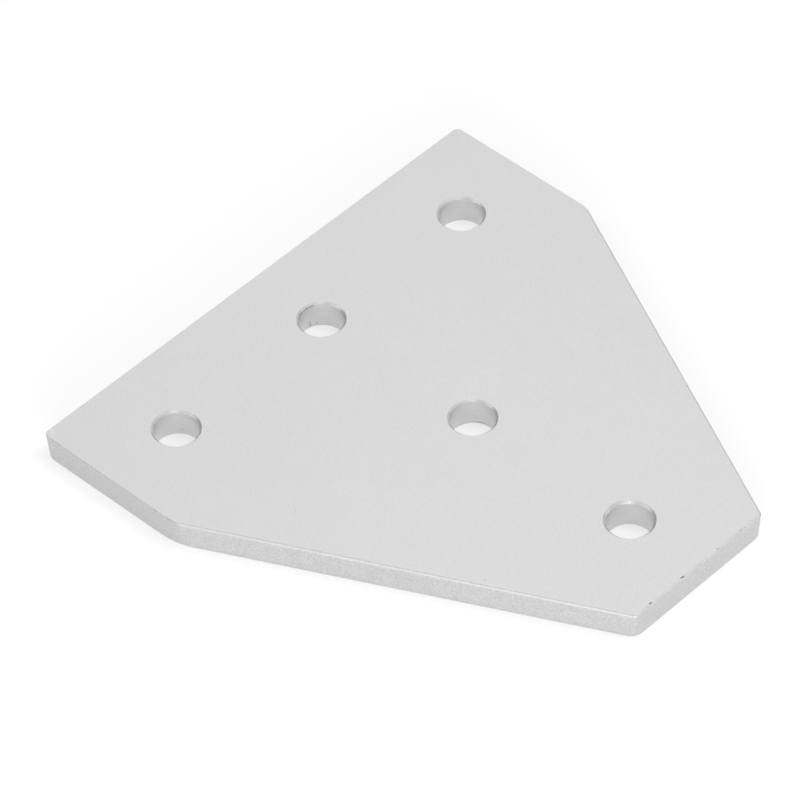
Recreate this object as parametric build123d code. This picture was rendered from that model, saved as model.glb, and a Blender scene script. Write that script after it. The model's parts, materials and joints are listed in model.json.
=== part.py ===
from build123d import *
import os
from math import hypot

# A flat T-shaped joining plate for slotted framing extrusion, in aluminium.
# Frame: the origin is on the crossbar's middle hole, at the underside that
# lies on the extrusions. X runs along the crossbar, the stem points to -Y
# and +Z is up through the plate. Sizes are in millimetres.

# plate
hole_pitch = 40.0  # one extrusion width, between neighbouring holes
crossbar_length = 116.0
crossbar_end_width = 35.0
back_margin = 17.8  # from the crossbar's holes to the long back edge
stem_end_width = 35.4
stem_end_margin = 17.4  # from the stem's last hole to its end
thickness = 6.0

# holes, a loose fit on an 8 mm screw
hole_diameter = 9.0
hole_bevel = 0.4  # on the upper rim only, the lower rim is left square

# corners: how far back from the sharp corner the rounding starts
bar_corner_top = 1.2  # the crossbar's four corners, at the upper face
bar_corner_foot = 2.4  # its two back corners, at the underside
shoulder_corner_foot = 4.0  # its two blunt front corners, at the underside
stem_corner_top = 0.6
stem_corner_foot = 2.0

# edges
edge_bevel = 0.35  # upper edge of the two long sides and of the stem's end
foot_round = 0.5  # lower edge, drawn in where the plate was punched out

bar_half = crossbar_length / 2
stem_half = stem_end_width / 2
shoulder_y = back_margin - crossbar_end_width
stem_end_y = -2 * hole_pitch - stem_end_margin
bevel_height = thickness - edge_bevel

# setbacks of the six corners, clockwise from the crossbar's back right one
top_setbacks = [
    bar_corner_top,
    bar_corner_top,
    stem_corner_top,
    stem_corner_top,
    bar_corner_top,
    bar_corner_top,
]
foot_setbacks = [
    bar_corner_foot,
    shoulder_corner_foot,
    stem_corner_foot,
    stem_corner_foot,
    shoulder_corner_foot,
    bar_corner_foot,
]


def sides(inset):
    """The six straight sides, clockwise from the back edge.

    Each is a point and a direction. The two long sides and the stem's end
    are moved inwards by the inset. The other three stay where they are.
    """
    run_x = bar_half - stem_half
    run_y = shoulder_y - stem_end_y
    along_x = run_x / hypot(run_x, run_y)
    along_y = run_y / hypot(run_x, run_y)
    shift_x = inset * along_y
    shift_y = inset * along_x
    return [
        (Vector(-bar_half, back_margin), Vector(1, 0)),
        (Vector(bar_half, back_margin), Vector(0, -1)),
        (
            Vector(bar_half - shift_x, shoulder_y + shift_y),
            Vector(-along_x, -along_y),
        ),
        (Vector(stem_half, stem_end_y + inset), Vector(-1, 0)),
        (
            Vector(-stem_half + shift_x, stem_end_y + shift_y),
            Vector(-along_x, along_y),
        ),
        (Vector(-bar_half, shoulder_y), Vector(0, 1)),
    ]


def corners(inset):
    """The six sharp corners, each with the directions into and out of it."""
    found = []
    straight = sides(inset)
    for number, (point, arriving) in enumerate(straight):
        far_point, leaving = straight[(number + 1) % 6]
        gap = far_point - point
        turn = arriving.X * leaving.Y - arriving.Y * leaving.X
        step = (gap.X * leaving.Y - gap.Y * leaving.X) / turn
        found.append((point + arriving * step, arriving, leaving))
    return found


def corner_arc(corner, setback):
    """The rounding of one corner, touching both of its sides."""
    point, arriving, leaving = corner
    start = point - arriving * setback
    finish = point + leaving * setback
    return TangentArc(start, finish, tangent=arriving)


def rounded_outline(height, inset):
    """The outline at one height near the upper face, corners rounded."""
    arcs = []
    for corner, setback in zip(corners(inset), top_setbacks):
        arcs.append(corner_arc(corner, setback))
    edges = []
    for number, arc in enumerate(arcs):
        edges.append(arc)
        edges.append(Line(arc @ 1, arcs[(number + 1) % 6] @ 0))
    return Pos(0, 0, height) * make_face(edges)


def corner_waste(corner, foot_setback, top_setback):
    """What is lost outside one corner, which is rounder at the underside."""
    point, arriving, leaving = corner
    beyond = point + (arriving - leaving) * foot_setback
    levels = []
    for height, setback in ((0, foot_setback), (bevel_height, top_setback)):
        arc = corner_arc(corner, setback)
        back = Polyline(arc @ 1, beyond, arc @ 0)
        levels.append(Pos(0, 0, height) * make_face([arc, back]))
    return loft(levels, ruled=True)


def walls():
    """The plate from its underside up to where the upper bevel starts."""
    points = [point for point, arriving, leaving in corners(0)]
    body = extrude(Polygon(*points, align=None), bevel_height, dir=(0, 0, 1))
    for number, corner in enumerate(corners(0)):
        foot_setback = foot_setbacks[number]
        top_setback = top_setbacks[number]
        body -= corner_waste(corner, foot_setback, top_setback)
    lower_edges = body.faces().sort_by(Axis.Z)[0].edges()
    return fillet(lower_edges, foot_round)


def rim():
    """The thin top layer that carries the upper bevel."""
    lower = rounded_outline(bevel_height, 0)
    upper = rounded_outline(thickness, edge_bevel)
    return loft([lower, upper], ruled=True)


def hole():
    """One hole, drilled through and bevelled at its upper rim."""
    radius = hole_diameter / 2
    drill = Cylinder(
        radius,
        thickness,
        align=(Align.CENTER, Align.CENTER, Align.MIN),
    )
    bevel = Cone(
        radius,
        radius + hole_bevel,
        hole_bevel,
        align=(Align.CENTER, Align.CENTER, Align.MAX),
    )
    return drill + Pos(0, 0, thickness) * bevel


def joining_plate():
    plate = walls() + rim()
    centres = [(column * hole_pitch, 0) for column in (-1, 0, 1)]
    centres += [(0, -row * hole_pitch) for row in (1, 2)]
    for x, y in centres:
        plate -= Pos(x, y, 0) * hole()
    return plate


os.makedirs("parts", exist_ok=True)
export_step(joining_plate(), "parts/joining_plate.step")
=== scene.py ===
"""An aluminium T plate that joins slotted extrusions, on a pale studio floor."""

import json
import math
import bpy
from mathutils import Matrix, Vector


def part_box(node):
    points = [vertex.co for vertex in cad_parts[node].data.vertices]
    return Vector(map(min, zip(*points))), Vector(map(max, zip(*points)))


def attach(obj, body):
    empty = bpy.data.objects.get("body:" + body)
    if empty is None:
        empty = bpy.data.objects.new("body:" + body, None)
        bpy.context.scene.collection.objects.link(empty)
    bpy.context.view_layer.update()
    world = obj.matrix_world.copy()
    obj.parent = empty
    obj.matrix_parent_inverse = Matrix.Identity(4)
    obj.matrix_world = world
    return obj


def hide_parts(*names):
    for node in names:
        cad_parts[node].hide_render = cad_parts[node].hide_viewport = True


bl_info = {
    "name": "Extrusion joining plate",
    "version": (1, 0, 0),
    "blender": (4, 5, 0),
    "location": "3D View > Sidebar > Joining plate",
    "description": "Makes a punched and drilled aluminium T plate and its studio",
    "category": "Object",
}

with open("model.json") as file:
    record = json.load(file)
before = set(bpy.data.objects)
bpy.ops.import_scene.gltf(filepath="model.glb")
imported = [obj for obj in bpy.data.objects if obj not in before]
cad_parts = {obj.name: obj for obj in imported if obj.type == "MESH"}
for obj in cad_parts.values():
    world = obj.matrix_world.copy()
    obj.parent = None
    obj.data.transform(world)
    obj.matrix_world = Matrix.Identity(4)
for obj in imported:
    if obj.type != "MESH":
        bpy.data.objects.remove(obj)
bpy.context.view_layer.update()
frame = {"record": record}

import bmesh
import bpy
from bpy.props import (
    FloatProperty,
    FloatVectorProperty,
    IntProperty,
    PointerProperty,
    StringProperty,
)
from mathutils import Matrix, Vector, geometry, noise

MM = 0.001
CAD_NODE = "joining_plate"
CAD_BODY = "root"
PLATE_NAME = "tee_plate"
BORES_NAME = "drilled_holes"

CAD_LOW, CAD_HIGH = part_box(CAD_NODE)
HOLE_CENTRES = [
    Vector(mount["pos_m"][:2])
    for mount in frame["record"]["mounts"]
    if mount["kind"] == "bore"
]
HOLE_RADIUS = (
    max(
        mount["dims"]["r_mm"]
        for mount in frame["record"]["mounts"]
        if mount["kind"] == "bore"
    )
    * MM
)
HOLE_PITCH = max(centre.x for centre in HOLE_CENTRES)

# Order of the six sides, clockwise from the crossbar's long back edge.
SIDE_COUNT = 6
BACK, RIGHT_END, RIGHT_SIDE, STEM_END, LEFT_SIDE, LEFT_END = range(SIDE_COUNT)


def linear(hex_colour):
    """An sRGB hex colour as the linear numbers that Blender's sockets take."""
    found = []
    for start in (1, 3, 5):
        value = int(hex_colour[start : start + 2], 16) / 255
        if value <= 0.04045:
            found.append(value / 12.92)
        else:
            found.append(((value + 0.055) / 1.055) ** 2.4)
    return (*found, 1.0)


# ---------------------------------------------------------------- sizes


class PlateSizes(bpy.types.PropertyGroup):
    """Sizes of the plate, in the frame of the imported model."""

    end_width: FloatProperty(
        name="Crossbar width",
        description="Width of the crossbar's two square ends",
        default=35.0 * MM,
        unit="LENGTH",
    )
    stem_width: FloatProperty(
        name="Stem width",
        description="Width of the stem at its end",
        default=35.4 * MM,
        unit="LENGTH",
    )
    edge_break: FloatProperty(
        name="Broken edge",
        description="Bevel on the upper edges of the long sides and stem end",
        default=0.35 * MM,
        unit="LENGTH",
    )
    bar_edge_break: FloatProperty(
        name="Crossbar edge",
        description="Slight bevel on the crossbar's back and end edges",
        default=0.09 * MM,
        unit="LENGTH",
    )
    foot_round: FloatProperty(
        name="Lower edge",
        description="Rounding of the lower edge, drawn in by the punch",
        default=0.5 * MM,
        unit="LENGTH",
    )
    bar_corner_top: FloatProperty(
        name="Crossbar corner, top",
        description="Set-back of the crossbar's corners at the upper face",
        default=1.2 * MM,
        unit="LENGTH",
    )
    bar_corner_foot: FloatProperty(
        name="Crossbar corner, foot",
        description="Set-back of the crossbar's back corners at the underside",
        default=2.4 * MM,
        unit="LENGTH",
    )
    shoulder_foot: FloatProperty(
        name="Shoulder corner, foot",
        description="Set-back of the blunt front corners at the underside",
        default=4.0 * MM,
        unit="LENGTH",
    )
    stem_corner_top: FloatProperty(
        name="Stem corner, top",
        description="Set-back of the stem's corners at the upper face",
        default=0.6 * MM,
        unit="LENGTH",
    )
    stem_corner_foot: FloatProperty(
        name="Stem corner, foot",
        description="Set-back of the stem's corners at the underside",
        default=2.0 * MM,
        unit="LENGTH",
    )
    point_spacing: FloatProperty(
        name="Outline spacing",
        description="Distance between mesh points along the outline",
        default=0.3 * MM,
        unit="LENGTH",
    )


class HoleSizes(bpy.types.PropertyGroup):
    """Sizes of the drilled holes."""

    pitch: FloatProperty(
        name="Hole pitch",
        description="Distance between neighbouring holes",
        default=HOLE_PITCH,
        unit="LENGTH",
    )
    radius: FloatProperty(
        name="Hole radius",
        description="Radius of the drilled bore",
        default=HOLE_RADIUS,
        unit="LENGTH",
    )
    bevel: FloatProperty(
        name="Rim bevel",
        description="Width of the bevel on each hole's upper rim",
        default=0.4 * MM,
        unit="LENGTH",
    )
    last_bevel: FloatProperty(
        name="Last rim bevel",
        description="Width of the rougher bevel on the stem's end hole",
        default=0.55 * MM,
        unit="LENGTH",
    )
    ripple: FloatProperty(
        name="Drill ripple",
        description="Height of the fine rings that the drill leaves",
        default=0.012 * MM,
        unit="LENGTH",
    )
    segments: IntProperty(
        name="Segments",
        description="Mesh faces round each hole",
        default=96,
        min=12,
    )
    steps: IntProperty(
        name="Steps",
        description="Mesh faces down each hole",
        default=45,
        min=6,
    )


class PlateFinish(bpy.types.PropertyGroup):
    """Colours and gloss of the plate."""

    metal: FloatVectorProperty(
        name="Anodised face",
        description="Colour of the bead-blasted, clear anodised aluminium",
        default=linear("#D6D6D6")[:3],
        size=3,
        subtype="COLOR",
        min=0.0,
        max=1.0,
    )
    wall: FloatVectorProperty(
        name="Punched wall",
        description="Colour of the punched and blasted outline walls",
        default=linear("#CACACA")[:3],
        size=3,
        subtype="COLOR",
        min=0.0,
        max=1.0,
    )
    edge: FloatVectorProperty(
        name="Broken edge",
        description="Colour of the filed upper edges",
        default=linear("#C8C8C8")[:3],
        size=3,
        subtype="COLOR",
        min=0.0,
        max=1.0,
    )
    bore: FloatVectorProperty(
        name="Bore",
        description="Colour of the drilled bores, cleaner than the blasted face",
        default=linear("#D7D7D7")[:3],
        size=3,
        subtype="COLOR",
        min=0.0,
        max=1.0,
    )
    roughness: FloatProperty(
        name="Roughness",
        description="Roughness of the blasted metal",
        default=0.5,
        min=0.0,
        max=1.0,
        subtype="FACTOR",
    )
    bore_roughness: FloatProperty(
        name="Bore roughness",
        description="Roughness of the drilled metal",
        default=0.42,
        min=0.0,
        max=1.0,
        subtype="FACTOR",
    )
    face_grain: FloatProperty(
        name="Face grain",
        description="How much the dimples of the face vary in tone",
        default=0.085,
        min=0.0,
        max=1.0,
        subtype="FACTOR",
    )
    wall_grain: FloatProperty(
        name="Wall grain",
        description="How much the sandy walls vary in tone",
        default=0.22,
        min=0.0,
        max=1.0,
        subtype="FACTOR",
    )
    edge_grain: FloatProperty(
        name="Edge grain",
        description="How much the filed edges vary in tone",
        default=0.12,
        min=0.0,
        max=1.0,
        subtype="FACTOR",
    )
    bore_grain: FloatProperty(
        name="Bore grain",
        description="How much the drilled bores vary in tone",
        default=0.07,
        min=0.0,
        max=1.0,
        subtype="FACTOR",
    )


class StudioLight(bpy.types.PropertyGroup):
    """The studio round the plate."""

    world: FloatProperty(
        name="Even light",
        description="Level of the light that comes from all round",
        default=0.412,
        min=0.0,
    )
    lamps: FloatProperty(
        name="Softboxes",
        description="Factor on the power of every softbox",
        default=1.0,
        min=0.0,
    )
    distance: FloatProperty(
        name="Softbox distance",
        description="How far each softbox stands from the plate",
        default=1.2,
        unit="LENGTH",
    )
    side: FloatProperty(
        name="Softbox side",
        description="Width and height of each softbox",
        default=0.6,
        unit="LENGTH",
    )
    floor_colour: StringProperty(
        name="Floor",
        description="Colour of the floor, as sRGB hex",
        default="#F4F4F4",
    )


# -------------------------------------------------------------- outline


def six_sides(sizes):
    """A point and a direction for each of the straight sides."""
    half_bar = CAD_HIGH.x
    back = CAD_HIGH.y
    half_stem = sizes.stem_width / 2
    shoulder = back - sizes.end_width
    tip = CAD_LOW.y
    slope = Vector((half_stem - half_bar, tip - shoulder)).normalized()
    return [
        (Vector((-half_bar, back)), Vector((1, 0))),
        (Vector((half_bar, back)), Vector((0, -1))),
        (Vector((half_bar, shoulder)), slope),
        (Vector((half_stem, tip)), Vector((-1, 0))),
        (Vector((-half_stem, tip)), Vector((slope.x, -slope.y))),
        (Vector((-half_bar, shoulder)), Vector((0, 1))),
    ]


def six_corners(sizes):
    """The sharp corners, each with the directions into and out of it."""
    sides = six_sides(sizes)
    found = []
    for number, (point, arriving) in enumerate(sides):
        next_point, leaving = sides[(number + 1) % SIDE_COUNT]
        gap = next_point - point
        turn = arriving.x * leaving.y - arriving.y * leaving.x
        step = (gap.x * leaving.y - gap.y * leaving.x) / turn
        found.append((point + arriving * step, arriving, leaving))
    return found


def outline_stations(sizes, arc_steps):
    """Where the mesh points sit round the outline, the same at every height.

    Each is (corner, share of its arc, None) on a corner, or (corner, None,
    share of the side) on the straight side that leaves that corner.
    """
    corners = six_corners(sizes)
    stations = []
    for number in range(SIDE_COUNT):
        for step in range(arc_steps + 1):
            stations.append((number, step / arc_steps, None))
        length = (corners[(number + 1) % SIDE_COUNT][0] - corners[number][0]).length
        count = round(length / sizes.point_spacing)
        for step in range(1, count):
            stations.append((number, None, step / count))
    return stations


def outline_ring(sizes, stations, setbacks):
    """Each station's place and outward direction, with the corners rounded."""
    arcs = []
    for (point, arriving, leaving), setback in zip(six_corners(sizes), setbacks):
        turn = arriving.angle(leaving)
        radius = setback / math.tan(turn / 2)
        inward = Vector((arriving.y, -arriving.x))
        arc_start = point - arriving * setback
        arc_end = point + leaving * setback
        centre = arc_start + inward * radius
        arcs.append((centre, -inward, turn, radius, arc_start, arc_end, leaving))
    ring = []
    for number, arc_share, side_share in stations:
        centre, outward, turn, radius, _, arc_end, leaving = arcs[number]
        if arc_share is not None:
            facing = Matrix.Rotation(-turn * arc_share, 2) @ outward
            ring.append((centre + facing * radius, facing))
            continue
        side_end = arcs[(number + 1) % SIDE_COUNT][4]
        facing = Vector((-leaving.y, leaving.x))
        ring.append((arc_end.lerp(side_end, side_share), facing))
    return ring


def station_break(stations, side_breaks):
    """Nominal upper bevel at each station, fading round the corners."""
    found = []
    for number, arc_share, _ in stations:
        before, after = side_breaks[number], side_breaks[(number + 1) % SIDE_COUNT]
        if arc_share is None:
            found.append(after)
        else:
            found.append(before + (after - before) * arc_share)
    return found


# Marks on the upper edge: x, y, extra bevel and half length, in millimetres.
EDGE_MARKS = [
    (-13.39, -97.3, 0.10, 0.25),
    (-4.47, -97.3, 0.22, 0.30),
    (-0.13, -97.3, 0.12, 0.22),
    (5.43, -97.3, 0.12, 0.25),
    (11.97, -97.3, 0.10, 0.22),
    (13.26, -97.3, 0.08, 0.18),
    (-57.6, -13.2, 0.06, 0.30),
    (-57.8, -15.3, 0.16, 0.45),
    (-57.9, -16.6, 0.20, 0.50),
    (-58.0, -17.6, 0.14, 0.40),
]


# How the bevel's width wanders: patch size in mm, noise layer, share of it.
FINE_WEAR = (0.55, 3.1, 0.22)
BROAD_WEAR = (2.5, 8.7, 0.12)
MARK_REACH = 3  # half lengths, past which a mark has faded out
LEAST_BREAK = 0.03 * MM


def worn_break(place, nominal):
    """The upper bevel at one point, with its unevenness and its knocks."""
    x, y = place.x / MM, place.y / MM
    share = 1
    for patch, layer, amount in (FINE_WEAR, BROAD_WEAR):
        share += amount * noise.noise(Vector((x / patch, y / patch, layer)))
    found = nominal * share
    for mark_x, mark_y, depth, half_length in EDGE_MARKS:
        away = math.hypot(x - mark_x, y - mark_y) / half_length
        if away < MARK_REACH:
            found += depth * MM * math.exp(-away * away)
    return max(found, LEAST_BREAK)


# ----------------------------------------------------------- plate mesh

# Mesh steps up the foot's round, the wall and the bevel, and round a corner.
FOOT_STEPS = 5
WALL_STEPS = 8
BREAK_STEPS = 4
ARC_STEPS = 9
BREAK_BULGE = 0.5  # 0 for a flat bevel, 1 for a quarter round


def plate_levels(sizes):
    """The plate's rings of points from the underside up to the upper face."""
    thickness = CAD_HIGH.z
    top_setbacks = [
        sizes.bar_corner_top,
        sizes.bar_corner_top,
        sizes.stem_corner_top,
        sizes.stem_corner_top,
        sizes.bar_corner_top,
        sizes.bar_corner_top,
    ]
    foot_setbacks = [
        sizes.bar_corner_foot,
        sizes.shoulder_foot,
        sizes.stem_corner_foot,
        sizes.stem_corner_foot,
        sizes.shoulder_foot,
        sizes.bar_corner_foot,
    ]
    side_breaks = [sizes.edge_break] * SIDE_COUNT
    for side in (BACK, RIGHT_END, LEFT_END):
        side_breaks[side] = sizes.bar_edge_break
    stations = outline_stations(sizes, ARC_STEPS)
    nominal = station_break(stations, side_breaks)
    crown = outline_ring(sizes, stations, top_setbacks)
    breaks = [worn_break(place, wanted) for (place, _), wanted in zip(crown, nominal)]
    taper_height = thickness - sizes.edge_break

    def ring_at(height, inset):
        share = min(height / taper_height, 1.0)
        setbacks = [
            foot + (top - foot) * share
            for foot, top in zip(foot_setbacks, top_setbacks)
        ]
        return [
            (place - facing * inset).to_3d() + Vector((0, 0, height))
            for place, facing in outline_ring(sizes, stations, setbacks)
        ]

    levels = []
    foot = sizes.foot_round
    for step in range(FOOT_STEPS + 1):
        angle = math.pi / 2 * step / FOOT_STEPS
        levels.append(
            ring_at(foot * (1 - math.cos(angle)), foot * (1 - math.sin(angle)))
        )
    wall_top = thickness - 2 * sizes.edge_break
    for step in range(1, WALL_STEPS + 1):
        levels.append(ring_at(foot + (wall_top - foot) * step / WALL_STEPS, 0.0))
    for step in range(BREAK_STEPS + 1):
        share = step / BREAK_STEPS
        angle = math.pi / 2 * share
        flat = (1 - BREAK_BULGE) * share
        inward = flat + BREAK_BULGE * (1 - math.cos(angle))
        upward = flat + BREAK_BULGE * math.sin(angle)
        ring = []
        for (place, facing), size in zip(crown, breaks):
            point = (place - facing * size * inward).to_3d()
            point.z = thickness - size * (1 - upward)
            ring.append(point)
        levels.append(ring)
    return levels


# Order of the plate's materials.
FACE_SLOT, WALL_SLOT, BEVEL_SLOT, BORE_SLOT = range(4)


def skin_levels(mesh, levels):
    """Joins neighbouring rings of points with four-sided faces."""
    rings = [[mesh.verts.new(point) for point in level] for level in levels]
    count = len(rings[0])
    bevel_start = len(levels) - BREAK_STEPS - 1
    for row, (lower, upper) in enumerate(zip(rings, rings[1:])):
        for number in range(count):
            after = (number + 1) % count
            face = mesh.faces.new(
                (lower[number], upper[number], upper[after], lower[after])
            )
            face.material_index = BEVEL_SLOT if row >= bevel_start else WALL_SLOT


GRID_SPACING = 4 * MM
RIM_CLEARANCE = 0.6 * GRID_SPACING
LEVEL_TOLERANCE = 1e-7
JOIN_TOLERANCE = 1e-9
INSIDE_BORDER = 1  # the triangulation keeps only what lies inside its edges


def close_face(mesh, height):
    """Fills the flat face at one height, round the open rims of the holes."""
    rim = [
        edge
        for edge in mesh.edges
        if edge.is_boundary
        and all(abs(vertex.co.z - height) < LEVEL_TOLERANCE for vertex in edge.verts)
    ]
    vertices = list({vertex for edge in rim for vertex in edge.verts})
    vertices.sort(key=lambda vertex: (vertex.co.x, vertex.co.y))
    place_of = {vertex: number for number, vertex in enumerate(vertices)}
    flat = [vertex.co.xy for vertex in vertices]
    links = [tuple(place_of[vertex] for vertex in edge.verts) for edge in rim]
    border = [flat[a].lerp(flat[b], 0.5) for a, b in links]
    x = CAD_LOW.x
    while x < CAD_HIGH.x:
        y = CAD_LOW.y
        while y < CAD_HIGH.y:
            point = Vector((x, y))
            if min((point - other).length for other in border) > RIM_CLEARANCE:
                flat.append(point)
            y += GRID_SPACING
        x += GRID_SPACING
    points, _, triangles, sources, _, _ = geometry.delaunay_2d_cdt(
        flat, links, [], INSIDE_BORDER, JOIN_TOLERANCE
    )
    made = []
    for point, source in zip(points, sources):
        if source and source[0] < len(vertices):
            made.append(vertices[source[0]])
        else:
            made.append(mesh.verts.new((point.x, point.y, height)))
    for triangle in triangles:
        middle = sum((points[corner] for corner in triangle), Vector((0, 0))) / 3
        if any((middle - centre).length < HOLE_RADIUS for centre in HOLE_CENTRES):
            continue
        face = mesh.faces.new([made[corner] for corner in triangle])
        face.material_index = FACE_SLOT
    loose = [vertex for vertex in mesh.verts if not vertex.link_faces]
    bmesh.ops.delete(mesh, geom=loose, context="VERTS")


# ------------------------------------------------------------ the holes


def add(tree, kind, inputs=None, **settings):
    """Adds a node with its settings, and its inputs as values or as links."""
    node = tree.nodes.new(kind)
    for name, value in settings.items():
        setattr(node, name, value)
    for name, value in (inputs or {}).items():
        socket = node.inputs[name]
        if isinstance(value, bpy.types.NodeSocket):
            tree.links.new(value, socket)
        elif isinstance(value, bpy.types.Node):
            tree.links.new(value.outputs[0], socket)
        else:
            socket.default_value = value
    return node


MATH = "ShaderNodeMath"
VECTOR_MATH = "ShaderNodeVectorMath"
NOISE = "ShaderNodeTexNoise"

HOLE_INPUTS = {
    "Hole pitch": "NodeSocketFloat",
    "Hole radius": "NodeSocketFloat",
    "Rim bevel": "NodeSocketFloat",
    "Last rim bevel": "NodeSocketFloat",
    "Plate thickness": "NodeSocketFloat",
    "Drill ripple": "NodeSocketFloat",
    "Segments": "NodeSocketInt",
    "Steps": "NodeSocketInt",
    "Seed": "NodeSocketFloat",
    "Bore metal": "NodeSocketMaterial",
}
HOLE_SEED = 4.0
OUTWARD = "outward"  # the attribute that keeps each point's way off the axis
LAST_HOLE_PITCHES = -1.5  # only the stem's end hole lies past this many
RIPPLE_SCALE = (160.0, 160.0, 3800.0)  # noise per metre, squeezed into rings
WELD_DISTANCE = 1e-6


def flare_at(tree, given, height, bevel):
    """How far a rim bevel of one width opens a bore out at one height."""
    foot = add(
        tree, MATH, {0: given["Plate thickness"], 1: bevel}, operation="SUBTRACT"
    )
    above = add(tree, MATH, {0: height, 1: foot}, operation="SUBTRACT")
    return add(tree, MATH, {0: above, 1: 0.0}, operation="MAXIMUM")


def bore_tube(tree, given):
    """A flat grid, bent round into a tube that opens out at its upper end."""
    grid = add(
        tree,
        "GeometryNodeMeshGrid",
        {
            "Size X": 1.0,
            "Size Y": 1.0,
            "Vertices X": add(tree, MATH, {0: given["Segments"], 1: 1.0}, operation="ADD"),
            "Vertices Y": add(tree, MATH, {0: given["Steps"], 1: 1.0}, operation="ADD"),
        },
    )
    position = add(tree, "GeometryNodeInputPosition")
    place = add(tree, "ShaderNodeSeparateXYZ", {0: position}).outputs
    turn = add(
        tree,
        MATH,
        {0: place["X"], 1: 2 * math.pi, 2: math.pi},
        operation="MULTIPLY_ADD",
    )
    level = add(tree, MATH, {0: place["Y"], 1: 0.5}, operation="ADD")
    height = add(
        tree, MATH, {0: level, 1: given["Plate thickness"]}, operation="MULTIPLY"
    )
    outward = add(
        tree,
        "ShaderNodeCombineXYZ",
        {
            "X": add(tree, MATH, {0: turn}, operation="COSINE"),
            "Y": add(tree, MATH, {0: turn}, operation="SINE"),
        },
    )
    flare = flare_at(tree, given, height, given["Rim bevel"])
    radius = add(tree, MATH, {0: given["Hole radius"], 1: flare}, operation="ADD")
    spread = add(tree, VECTOR_MATH, {0: outward, "Scale": radius}, operation="SCALE")
    rise = add(tree, "ShaderNodeCombineXYZ", {"Z": height})
    lifted = add(tree, VECTOR_MATH, {0: spread, 1: rise}, operation="ADD")
    labelled = add(
        tree,
        "GeometryNodeStoreNamedAttribute",
        {"Geometry": grid, "Name": OUTWARD, "Value": outward},
        data_type="FLOAT_VECTOR",
        domain="POINT",
    )
    return add(
        tree, "GeometryNodeSetPosition", {"Geometry": labelled, "Position": lifted}
    )


def hole_places(tree, pitch):
    """A row of three places on the crossbar, and two down the stem."""
    back_along = add(tree, MATH, {0: pitch, 1: -1.0}, operation="MULTIPLY")
    places = add(tree, "GeometryNodeJoinGeometry")
    for count, start, step in (
        (3, {"X": back_along}, {"X": pitch}),
        (2, {"Y": back_along}, {"Y": back_along}),
    ):
        line = add(
            tree,
            "GeometryNodeMeshLine",
            {
                "Count": count,
                "Start Location": add(tree, "ShaderNodeCombineXYZ", start),
                "Offset": add(tree, "ShaderNodeCombineXYZ", step),
            },
            mode="OFFSET",
        )
        tree.links.new(line.outputs[0], places.inputs[0])
    return places


def worn_bores(tree, given, bores):
    """The last hole's wider bevel, and the uneven rings left by the drill."""
    here = add(tree, "GeometryNodeInputPosition")
    where = add(tree, "ShaderNodeSeparateXYZ", {0: here}).outputs
    limit = add(
        tree,
        MATH,
        {0: given["Hole pitch"], 1: LAST_HOLE_PITCHES},
        operation="MULTIPLY",
    )
    past = add(tree, MATH, {0: where["Y"], 1: limit}, operation="LESS_THAN")
    last = flare_at(tree, given, where["Z"], given["Last rim bevel"])
    usual = flare_at(tree, given, where["Z"], given["Rim bevel"])
    extra = add(tree, MATH, {0: last, 1: usual}, operation="SUBTRACT")
    widening = add(tree, MATH, {0: extra, 1: past}, operation="MULTIPLY")
    rings = add(tree, VECTOR_MATH, {0: here, 1: RIPPLE_SCALE}, operation="MULTIPLY")
    rough = add(
        tree,
        NOISE,
        {"Vector": rings, "W": given["Seed"], "Scale": 1.0, "Detail": 2.0},
        noise_dimensions="4D",
    )
    centred = add(tree, MATH, {0: rough, 1: 0.5}, operation="SUBTRACT")
    half_ripple = add(
        tree, MATH, {0: centred, 1: given["Drill ripple"]}, operation="MULTIPLY"
    )
    ripple = add(tree, MATH, {0: half_ripple, 1: 2.0}, operation="MULTIPLY")
    reach = add(tree, MATH, {0: widening, 1: ripple}, operation="ADD")
    radial = add(
        tree,
        "GeometryNodeInputNamedAttribute",
        {"Name": OUTWARD},
        data_type="FLOAT_VECTOR",
    )
    push = add(tree, VECTOR_MATH, {0: radial, "Scale": reach}, operation="SCALE")
    return add(tree, "GeometryNodeSetPosition", {"Geometry": bores, "Offset": push})


def hole_tree():
    """Geometry Nodes that line the five drilled holes, three and two in line."""
    tree = bpy.data.node_groups.new("Drilled holes in a T", "GeometryNodeTree")
    for name, kind in HOLE_INPUTS.items():
        tree.interface.new_socket(name, in_out="INPUT", socket_type=kind)
    tree.interface.new_socket(
        "Geometry", in_out="OUTPUT", socket_type="NodeSocketGeometry"
    )
    given = add(tree, "NodeGroupInput").outputs
    placed = add(
        tree,
        "GeometryNodeInstanceOnPoints",
        {
            "Points": hole_places(tree, given["Hole pitch"]),
            "Instance": bore_tube(tree, given),
        },
    )
    bores = add(tree, "GeometryNodeRealizeInstances", {"Geometry": placed})
    worn = worn_bores(tree, given, bores)
    welded = add(
        tree,
        "GeometryNodeMergeByDistance",
        {"Geometry": worn, "Distance": WELD_DISTANCE},
    )
    clean = add(
        tree, "GeometryNodeRemoveAttribute", {"Geometry": welded, "Name": OUTWARD}
    )
    finished = add(
        tree,
        "GeometryNodeSetMaterial",
        {"Geometry": clean, "Material": given["Bore metal"]},
    )
    add(tree, "NodeGroupOutput", {0: finished})
    return tree


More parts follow.
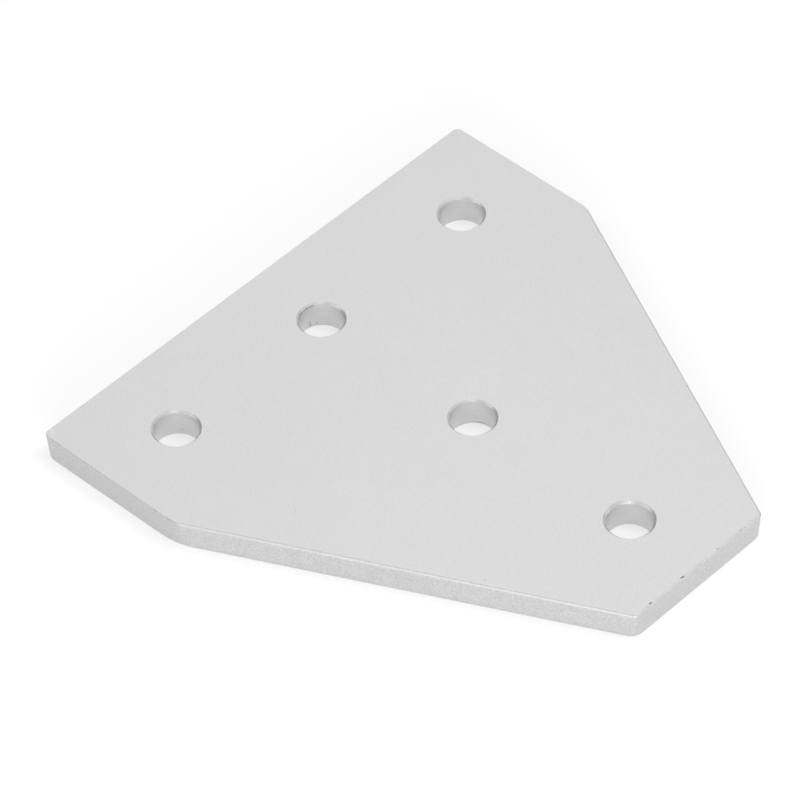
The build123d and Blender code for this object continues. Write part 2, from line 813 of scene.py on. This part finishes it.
def bore_mesh(holes, bore_metal):
    """The lining of all five holes, as a plain mesh."""
    tree = hole_tree()
    carrier = bpy.data.objects.new(BORES_NAME, bpy.data.meshes.new(BORES_NAME))
    bpy.context.scene.collection.objects.link(carrier)
    modifier = carrier.modifiers.new("Drilled holes", "NODES")
    modifier.node_group = tree
    wanted = {
        "Hole pitch": holes.pitch,
        "Hole radius": holes.radius,
        "Rim bevel": holes.bevel,
        "Last rim bevel": holes.last_bevel,
        "Plate thickness": CAD_HIGH.z,
        "Drill ripple": holes.ripple,
        "Segments": holes.segments,
        "Steps": holes.steps,
        "Seed": HOLE_SEED,
        "Bore metal": bore_metal,
    }
    for item in tree.interface.items_tree:
        if item.in_out == "INPUT":
            modifier[item.identifier] = wanted[item.name]
    carrier.update_tag()
    depsgraph = bpy.context.evaluated_depsgraph_get()
    made = bpy.data.meshes.new_from_object(carrier.evaluated_get(depsgraph))
    carrier.modifiers.remove(modifier)
    bpy.data.objects.remove(carrier)
    return made


# ------------------------------------------------------------ materials

# Marks on the upper face, and a painted shade line just behind the stem bevel: start,
# finish, half width and depth of tone. In mm.
FACE_MARKS_AND_SHADE = [
    ((-39.62, -30.81), (-40.78, -32.43), 0.17, 0.10),  # a short scratch
    ((-41.66, -22.72), (-42.37, -23.49), 0.13, 0.05),
    ((-48.36, 3.96), (-48.20, 3.70), 0.16, 0.06),
    ((-46.82, 2.27), (-46.60, 2.20), 0.15, 0.05),
    ((-29.75, -70.43), (-29.60, -70.45), 0.22, 0.24),  # a dark pit
    ((17.40, -87.90), (17.50, -88.10), 0.20, 0.06),
    ((16.70, -74.90), (16.50, -75.10), 0.22, 0.04),
    ((18.40, -11.30), (18.60, -11.20), 0.20, 0.05),
    ((45.40, 10.70), (45.10, 10.50), 0.22, 0.04),
    ((23.30, -77.90), (23.40, -78.00), 0.18, 0.06),
    ((32.00, -62.60), (32.10, -62.70), 0.16, 0.05),
    ((17.90, -72.20), (18.00, -72.30), 0.16, 0.05),
    ((-6.90, -78.30), (-6.70, -78.50), 0.20, 0.035),
    ((-57.00, 16.20), (-56.50, 17.00), 0.90, -0.045),  # rubbed bright corner
    # Painted shade: a faint dark line just inside the stem's upper bevel.
    ((-17.00, -97.02), (17.00, -97.02), 0.20, 0.028),  # behind the stem bevel
]

# Painted shade in the knocks in the bevel at the stem's end, then on the bruised left
# shoulder, where the mesh also dents the bevel. In mm.
STEM_KNOCK_SHADE = [
    ((-4.68, -97.00), (-4.21, -97.13), 0.26, 0.62),
    ((-13.60, -96.94), (-13.14, -97.05), 0.24, 0.50),
    ((-0.40, -97.17), (0.36, -97.24), 0.17, 0.26),
    ((5.31, -97.14), (5.66, -97.28), 0.20, 0.42),
    ((11.77, -97.22), (12.30, -97.30), 0.21, 0.48),
    ((12.89, -97.26), (13.26, -97.32), 0.17, 0.30),
]
SHOULDER_BRUISE_SHADE = [
    ((-57.98, -15.60), (-57.88, -17.00), 0.22, 0.24),
    ((-57.88, -17.00), (-57.80, -18.60), 0.26, 0.34),
    ((-57.99, -11.80), (-57.99, -13.10), 0.14, 0.14),
]
# Painted shade in every knock, at the stem's end and on the shoulder.
EDGE_KNOCK_SHADE = STEM_KNOCK_SHADE + SHOULDER_BRUISE_SHADE


WALL_REACH = 0.02 * MM  # the marks lie this far behind the nominal wall


def on_wall(hole, angle, height):
    """A point on a bore's wall, in millimetres, from its angle and height."""
    centre = HOLE_CENTRES[hole]
    turn = math.radians(angle)
    reach = HOLE_RADIUS + WALL_REACH
    return (
        (centre.x + reach * math.cos(turn)) / MM,
        (centre.y + reach * math.sin(turn)) / MM,
        height,
    )


def bore_mark(hole, first, last, half_width, tone):
    """A mark on a bore's wall between two (angle, height) places."""
    return (on_wall(hole, *first), on_wall(hole, *last), half_width, tone)


# Chips, burrs and stains that the drill left in the bores, and a painted shadow where the
# fourth bore meets the floor.
BORE_MARKS_AND_SHADOW = [
    bore_mark(0, (31, 1.3), (33, 1.25), 0.22, 0.22),
    bore_mark(1, (125, 5.55), (105, 5.5), 0.22, 0.40),
    bore_mark(1, (105, 5.5), (85, 5.5), 0.20, 0.34),
    bore_mark(1, (85, 5.5), (65, 5.55), 0.22, 0.42),
    bore_mark(1, (74, 0.4), (75, 1.5), 0.26, 0.34),
    bore_mark(1, (57, 0.65), (55, 0.75), 0.30, 0.26),
    bore_mark(1, (-14, 5.75), (-34, 5.8), 0.26, 0.30),
    bore_mark(2, (0, 4.6), (1, 4.5), 0.20, 0.20),
    # Painted shadow: the dark gap at the foot of the fourth bore's wall.
    bore_mark(3, (12, 0.32), (27, 0.3), 0.20, 0.26),
    bore_mark(3, (27, 0.3), (42, 0.32), 0.18, 0.20),
]


def metal_material(name, colour, roughness):
    """A fresh metal, its node tree, its shader and its object coordinates."""
    material = bpy.data.materials.new(name)
    material.use_nodes = True
    tree = material.node_tree
    shader = tree.nodes["Principled BSDF"]
    shader.inputs["Base Color"].default_value = (*colour, 1.0)
    shader.inputs["Metallic"].default_value = 1.0
    shader.inputs["Roughness"].default_value = roughness
    place = tree.nodes.new("ShaderNodeTexCoord").outputs["Object"]
    return material, tree, shader, place


def swung(tree, shade, pattern, amount):
    """The shade moved up and down by a pattern that runs from 0 to 1."""
    swing = add(
        tree, MATH, {0: pattern, 1: 2 * amount, 2: -amount}, operation="MULTIPLY_ADD"
    )
    return add(tree, MATH, {0: shade, 1: swing}, operation="ADD")


def clouded(tree, place, shade, clouds):
    """The shade varied by soft clouds, each of a size in mm and an amount."""
    for size_mm, amount in clouds:
        cloud = add(
            tree, NOISE, {"Vector": place, "Scale": 1 / (size_mm * MM), "Detail": 2.0}
        )
        shade = swung(tree, shade, cloud, amount)
    return shade


MARK_CORE = 0.35  # share of a mark's half width that has its full depth
SHORTEST_MARK = 1e-12  # keeps a mark of no length from dividing by zero


def mark_mask(tree, place, start, finish, half_width):
    """1 on the line between two places in millimetres, 0 past the half width."""
    face_height = CAD_HIGH.z / MM
    first = Vector((*start, face_height)[:3]) * MM
    line = Vector((*finish, face_height)[:3]) * MM - first
    away = add(tree, VECTOR_MATH, {0: place, 1: first}, operation="SUBTRACT")
    along = add(
        tree,
        VECTOR_MATH,
        {0: away, 1: line / max(line.length_squared, SHORTEST_MARK)},
        operation="DOT_PRODUCT",
    )
    share = add(tree, "ShaderNodeClamp", {"Value": along.outputs["Value"]})
    nearest = add(tree, VECTOR_MATH, {0: line, "Scale": share}, operation="SCALE")
    gap = add(tree, VECTOR_MATH, {0: away, 1: nearest}, operation="DISTANCE")
    return add(
        tree,
        "ShaderNodeMapRange",
        {
            "Value": gap.outputs["Value"],
            "From Min": half_width * MM,
            "From Max": half_width * MM * MARK_CORE,
        },
        interpolation_type="SMOOTHSTEP",
    )


def marked(tree, place, shade, marks):
    """The shade with every mark of a list taken off it."""
    for start, finish, half_width, tone in marks:
        mask = mark_mask(tree, place, start, finish, half_width)
        shade = add(
            tree, MATH, {0: mask, 1: -tone, 2: shade}, operation="MULTIPLY_ADD"
        )
    return shade


def dressed(tree, shader, colour, shade, gloss, relief):
    """Gives the shader its tone, its uneven gloss and its fine relief.

    The gloss is a pattern, the middle roughness and the spread either side of
    it. The relief is a pattern, its strength and its depth in millimetres.
    """
    tone = add(tree, VECTOR_MATH, {0: colour, "Scale": shade}, operation="SCALE")
    tree.links.new(tone.outputs[0], shader.inputs["Base Color"])
    pattern, roughness, spread = gloss
    uneven = add(
        tree,
        "ShaderNodeMapRange",
        {
            "Value": pattern,
            "To Min": roughness - spread,
            "To Max": roughness + spread,
        },
    )
    tree.links.new(uneven.outputs[0], shader.inputs["Roughness"])
    pattern, strength, depth_mm = relief
    bump = add(
        tree,
        "ShaderNodeBump",
        {"Strength": strength, "Distance": depth_mm * MM, "Height": pattern},
    )
    tree.links.new(bump.outputs[0], shader.inputs["Normal"])


# Clouds on each metal: patch size in mm and how far the tone swings.
FACE_CLOUDS = ((0.7, 0.012), (3.0, 0.010), (12.0, 0.012))
WALL_CLOUDS = ((2.0, 0.02),)
EDGE_CLOUDS = ((1.6, 0.06),)
BORE_CLOUDS = ((2.2, 0.04),)

# Grains as they are drawn, each coarser than the real one so that it shows.
DIMPLE_SIZE = 0.32 * MM
TORN_GRAIN_SIZE = 0.42 * MM
FILED_GRAIN_SIZE = 0.22 * MM
DUST_SIZE = 0.2 * MM
DRILL_RING_SPACING = 0.25 * MM
STREAK_WIDTH = 0.35 * MM

# Pores of the rolled sheet: at most one to a cell, and none in most cells.
PORE_CELL = 6 * MM
PORE_THRESHOLD = 0.55
PORE_RIM, PORE_CORE = 0.032, 0.012  # radii as shares of the cell
PORE_TONE = 0.05

UPRIGHT_STREAKS = (1.0, 1.0, 0.12)  # the pattern, stretched up the wall
LEVEL_RINGS = (0.05, 0.05, 1.0)  # the pattern, stretched round the bore
STREAK_TONE = 0.03

# Gloss: how much rougher than the face, and the spread either side.
TORN_ROUGHER = 0.05
FILED_ROUGHER = 0.12
FACE_SPREAD = 0.04
OTHER_SPREAD = 0.06

# Relief: its strength and its depth in millimetres.
FACE_RELIEF = (0.25, 0.02)
SANDY_RELIEF = (0.35, 0.03)
RING_RELIEF = (0.5, 0.03)


def pores(tree, place):
    """Small dark pits, scattered thinly over the face."""
    cells = add(
        tree,
        "ShaderNodeTexVoronoi",
        {"Vector": place, "Scale": 1 / PORE_CELL},
        voronoi_dimensions="2D",
    ).outputs
    chosen = add(
        tree, MATH, {0: cells["Color"], 1: PORE_THRESHOLD}, operation="GREATER_THAN"
    )
    pit = add(
        tree,
        "ShaderNodeMapRange",
        {
            "Value": cells["Distance"],
            "From Min": PORE_RIM,
            "From Max": PORE_CORE,
            "To Max": PORE_TONE,
        },
    )
    return add(tree, MATH, {0: pit, 1: chosen}, operation="MULTIPLY")


def blasted_face(finish):
    """Bead-blasted, clear anodised aluminium: an even, silky light grey.

    The beads leave dimples of about 0.1 mm, drawn here at 0.32 mm to show.
    Cloudy patches of 3 and 12 mm come from the blasting gun's passes, and
    small dark pits are pores in the rolled sheet that the anodising opened.
    """
    material, tree, shader, place = metal_material(
        "bead_blasted_anodised_aluminium", finish.metal, finish.roughness
    )
    dimples = add(
        tree, NOISE, {"Vector": place, "Scale": 1 / DIMPLE_SIZE, "Detail": 1.0}
    )
    shade = swung(tree, 1.0, dimples, finish.face_grain)
    shade = clouded(tree, place, shade, FACE_CLOUDS)
    shade = add(tree, MATH, {0: shade, 1: pores(tree, place)}, operation="SUBTRACT")
    # Scratches and pits, with painted shade behind the stem bevel and in the knocks on the
    # edge.
    shade = marked(tree, place, shade, FACE_MARKS_AND_SHADE + EDGE_KNOCK_SHADE)
    gloss = (dimples, finish.roughness, FACE_SPREAD)
    dressed(tree, shader, finish.metal, shade, gloss, (dimples, *FACE_RELIEF))
    return material


def punched_wall(finish):
    """The punched edge: sandier and duller, since the blast hit torn metal.

    The torn metal's grains of about 0.2 mm are drawn at 0.42 mm to show, and
    faint upright streaks follow the punch.
    """
    material, tree, shader, place = metal_material(
        "punched_blasted_aluminium", finish.wall, finish.roughness
    )
    sand = add(
        tree, NOISE, {"Vector": place, "Scale": 1 / TORN_GRAIN_SIZE, "Detail": 1.0}
    )
    upright = add(tree, "ShaderNodeMapping", {"Vector": place, "Scale": UPRIGHT_STREAKS})
    streaks = add(
        tree, NOISE, {"Vector": upright, "Scale": 1 / STREAK_WIDTH, "Detail": 2.0}
    )
    shade = swung(tree, 1.0, sand, finish.wall_grain)
    shade = swung(tree, shade, streaks, STREAK_TONE)
    shade = clouded(tree, place, shade, WALL_CLOUDS)
    # Painted shade on the bruised left shoulder.
    shade = marked(tree, place, shade, SHOULDER_BRUISE_SHADE)
    gloss = (sand, finish.roughness + TORN_ROUGHER, OTHER_SPREAD)
    dressed(tree, shader, finish.wall, shade, gloss, (sand, *SANDY_RELIEF))
    return material


def broken_edge(finish):
    """The filed upper edge, blasted after: a shade darker and rougher.

    Its grain of about 0.1 mm, drawn at 0.22 mm to show, breaks up the light
    that runs along the bevel.
    """
    material, tree, shader, place = metal_material(
        "filed_blasted_aluminium", finish.edge, finish.roughness
    )
    sand = add(
        tree, NOISE, {"Vector": place, "Scale": 1 / FILED_GRAIN_SIZE, "Detail": 2.0}
    )
    shade = swung(tree, 1.0, sand, finish.edge_grain)
    shade = clouded(tree, place, shade, EDGE_CLOUDS)
    # Painted shade in the knocks on the bevel.
    shade = marked(tree, place, shade, EDGE_KNOCK_SHADE)
    gloss = (sand, finish.roughness + FILED_ROUGHER, OTHER_SPREAD)
    dressed(tree, shader, finish.edge, shade, gloss, (sand, *SANDY_RELIEF))
    return material


def drilled_bore(finish):
    """Drilled aluminium: smoother and ringed, since the beads hardly reached it.

    The drill's feed left rings about 0.15 mm apart, drawn at 0.25 mm to show,
    with dust-fine marks of about 0.1 mm, drawn at 0.2 mm, between them.
    """
    material, tree, shader, place = metal_material(
        "drilled_anodised_aluminium", finish.bore, finish.bore_roughness
    )
    level = add(tree, "ShaderNodeMapping", {"Vector": place, "Scale": LEVEL_RINGS})
    rings = add(
        tree,
        NOISE,
        {"Vector": level, "Scale": 1 / DRILL_RING_SPACING, "Detail": 2.0},
    )
    dust = add(tree, NOISE, {"Vector": place, "Scale": 1 / DUST_SIZE, "Detail": 2.0})
    shade = swung(tree, 1.0, rings, finish.bore_grain)
    shade = swung(tree, shade, dust, finish.bore_grain)
    shade = clouded(tree, place, shade, BORE_CLOUDS)
    # Chips, burrs and stains, and the painted shadow at the foot of the fourth bore.
    shade = marked(tree, place, shade, BORE_MARKS_AND_SHADOW)
    gloss = (dust, finish.bore_roughness, OTHER_SPREAD)
    dressed(tree, shader, finish.bore, shade, gloss, (rings, *RING_RELIEF))
    return material


# ------------------------------------------------------------ operators


CREASE_ANGLE = math.radians(28)  # edges turned by more than this stay sharp


class MakePlate(bpy.types.Operator):
    """Makes the T plate, its punched walls, broken edges and drilled holes."""

    bl_idname = "joining_plate.make_plate"
    bl_label = "Make the plate"

    def execute(self, context):
        scene = context.scene
        finish = scene.plate_finish
        metals = [
            blasted_face(finish),
            punched_wall(finish),
            broken_edge(finish),
            drilled_bore(finish),
        ]
        bores = bore_mesh(scene.hole_sizes, metals[BORE_SLOT])
        plate = bmesh.new()
        plate.from_mesh(bores)
        for face in plate.faces:
            face.material_index = BORE_SLOT
        skin_levels(plate, plate_levels(scene.plate_sizes))
        for height in (0.0, CAD_HIGH.z):
            close_face(plate, height)
        bmesh.ops.recalc_face_normals(plate, faces=plate.faces)
        open_edges = [edge for edge in plate.edges if not edge.is_manifold]
        if open_edges:
            raise RuntimeError(f"the plate has {len(open_edges)} open edges")
        for face in plate.faces:
            face.smooth = True
        for edge in plate.edges:
            slots = {face.material_index for face in edge.link_faces}
            steep = edge.calc_face_angle(0.0) > CREASE_ANGLE
            edge.smooth = not (steep or (FACE_SLOT in slots and len(slots) > 1))
        made = bpy.data.meshes.new(PLATE_NAME)
        plate.to_mesh(made)
        plate.free()
        bpy.data.meshes.remove(bores)
        for metal in metals:
            made.materials.append(metal)
        piece = bpy.data.objects.new(PLATE_NAME, made)
        scene.collection.objects.link(piece)
        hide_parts(CAD_NODE)
        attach(piece, CAD_BODY)
        return {"FINISHED"}


class SetStudio(bpy.types.Operator):
    """Lays the pale floor, sets the soft lamps and stands the camera."""

    bl_idname = "joining_plate.set_studio"
    bl_label = "Set the studio"

    def execute(self, context):
        scene = context.scene
        light = scene.studio_light
        lay_floor(scene, light)
        light_world(scene, light)
        hang_lamps(scene, light)
        stand_camera(scene)
        scene.view_settings.view_transform = "Standard"
        return {"FINISHED"}


FLOOR_HALF = 1.5
FLOOR_DROP = 0.02 * MM  # keeps the floor clear of the underside
FLOOR_WHITENING = 0.66  # share of pure white in what the camera sees of it


def lay_floor(scene, light):
    """A wide pale floor that shows white and keeps the plate's shadow."""
    floor = bpy.data.meshes.new("studio_floor")
    corners = [
        (-FLOOR_HALF, -FLOOR_HALF, -FLOOR_DROP),
        (FLOOR_HALF, -FLOOR_HALF, -FLOOR_DROP),
        (FLOOR_HALF, FLOOR_HALF, -FLOOR_DROP),
        (-FLOOR_HALF, FLOOR_HALF, -FLOOR_DROP),
    ]
    floor.from_pydata(corners, [], [(0, 1, 2, 3)])
    floor.materials.append(white_floor(light))
    sheet = bpy.data.objects.new("studio_floor", floor)
    scene.collection.objects.link(sheet)


def white_floor(light):
    """Matt white paper, raised to white where it is seen or reflected."""
    material = bpy.data.materials.new("matt_white_paper")
    material.use_nodes = True
    tree = material.node_tree
    tree.nodes.clear()
    paper = add(tree, "ShaderNodeBsdfDiffuse", {"Color": linear(light.floor_colour)})
    glow = add(tree, "ShaderNodeEmission", {"Strength": 1.0})
    rays = add(tree, "ShaderNodeLightPath").outputs
    seen = rays["Is Camera Ray"]
    for kind in ("Is Glossy Ray", "Is Transmission Ray"):
        seen = add(tree, MATH, {0: seen, 1: rays[kind]}, operation="MAXIMUM")
    share = add(tree, MATH, {0: seen, 1: FLOOR_WHITENING}, operation="MULTIPLY")
    mixed = add(tree, "ShaderNodeMixShader", {0: share, 1: paper, 2: glow})
    add(tree, "ShaderNodeOutputMaterial", {"Surface": mixed})
    return material


def light_world(scene, light):
    """Even light from all round, white where it is seen."""
    world = bpy.data.worlds.new("studio")
    world.use_nodes = True
    tree = world.node_tree
    tree.nodes.clear()
    seen = add(tree, "ShaderNodeLightPath").outputs["Is Camera Ray"]
    even = add(tree, "ShaderNodeBackground", {"Strength": light.world})
    white = add(tree, "ShaderNodeBackground", {"Strength": 1.0})
    mixed = add(tree, "ShaderNodeMixShader", {0: seen, 1: even, 2: white})
    add(tree, "ShaderNodeOutputWorld", {"Surface": mixed})
    scene.world = world


LAMP_AIM = Vector((0, -40 * MM, 0))

# Each softbox: its name, azimuth and elevation in degrees, power in watts.
SOFTBOXES = [
    ("softbox_front_left", 225, 12, 11.6),
    ("softbox_above_front", 315, 68, 6.4),
    ("softbox_back_right", 45, 45, 1.5),
    ("softbox_back_left", 135, 45, 2.3),
    ("softbox_above_back", 90, 68, 0.8),
    ("strip_front", 270, 5, 3.5),
    ("strip_front_right", 315, 5, 2.3),
    ("strip_right", 0, 5, 1.0),
    ("strip_left", 180, 22, 1.2),
]


def hang_lamps(scene, light):
    """The soft square lamps, each turned to the middle of the plate."""
    for name, azimuth, elevation, power in SOFTBOXES:
        lamp = bpy.data.lights.new(name, "AREA")
        lamp.shape = "SQUARE"
        lamp.size = light.side
        lamp.energy = light.lamps * power
        turn, rise = math.radians(azimuth), math.radians(elevation)
        level = math.cos(rise)
        away = Vector((math.cos(turn) * level, math.sin(turn) * level, math.sin(rise)))
        holder = bpy.data.objects.new(name, lamp)
        holder.location = LAMP_AIM + away * light.distance
        holder.rotation_euler = (-away).to_track_quat("-Z", "Y").to_euler()
        scene.collection.objects.link(holder)


CAMERA_PLACE = (-0.563501, -0.572274, 0.792228)
CAMERA_AXES = (
    (0.684682, -0.728563, -0.020160),  # to its right
    (0.527062, 0.475834, 0.704122),  # up
    (-0.503404, -0.492725, 0.709793),  # backwards
)
LENS_MM = 260.547
SENSOR_MM = 36.0
NEAREST_SEEN, FARTHEST_SEEN = 0.01, 20.0


def stand_camera(scene):
    """The camera, a long lens looking down at the plate from its left."""
    camera = bpy.data.cameras.new("camera")
    camera.sensor_fit = "HORIZONTAL"
    camera.sensor_width = SENSOR_MM
    camera.lens = LENS_MM
    camera.clip_start = NEAREST_SEEN
    camera.clip_end = FARTHEST_SEEN
    holder = bpy.data.objects.new("camera", camera)
    axes = Matrix(CAMERA_AXES).transposed()
    holder.matrix_world = Matrix.Translation(CAMERA_PLACE) @ axes.to_4x4()
    scene.collection.objects.link(holder)
    scene.camera = holder


class PlatePanel(bpy.types.Panel):
    """Lists the steps and the sizes of the joining plate."""

    bl_idname = "VIEW3D_PT_joining_plate"
    bl_label = "Joining plate"
    bl_space_type = "VIEW_3D"
    bl_region_type = "UI"
    bl_category = "Joining plate"

    def draw(self, context):
        layout = self.layout
        scene = context.scene
        for operator in OPERATORS:
            layout.operator(operator.bl_idname)
        for group_name, group in GROUPS.items():
            column = layout.column()
            for name in group.__annotations__:
                column.prop(getattr(scene, group_name), name)


OPERATORS = (MakePlate, SetStudio)
GROUPS = {
    "plate_sizes": PlateSizes,
    "hole_sizes": HoleSizes,
    "plate_finish": PlateFinish,
    "studio_light": StudioLight,
}


def register():
    for group in GROUPS.values():
        bpy.utils.register_class(group)
    for name, group in GROUPS.items():
        setattr(bpy.types.Scene, name, PointerProperty(type=group))
    for operator in OPERATORS:
        bpy.utils.register_class(operator)
    bpy.utils.register_class(PlatePanel)


def unregister():
    bpy.utils.unregister_class(PlatePanel)
    for operator in reversed(OPERATORS):
        bpy.utils.unregister_class(operator)
    for name in GROUPS:
        delattr(bpy.types.Scene, name)
    for group in reversed(GROUPS.values()):
        bpy.utils.unregister_class(group)


def main():
    register()
    bpy.ops.joining_plate.make_plate()
    bpy.ops.joining_plate.set_studio()


if __name__ == "__main__":
    main()
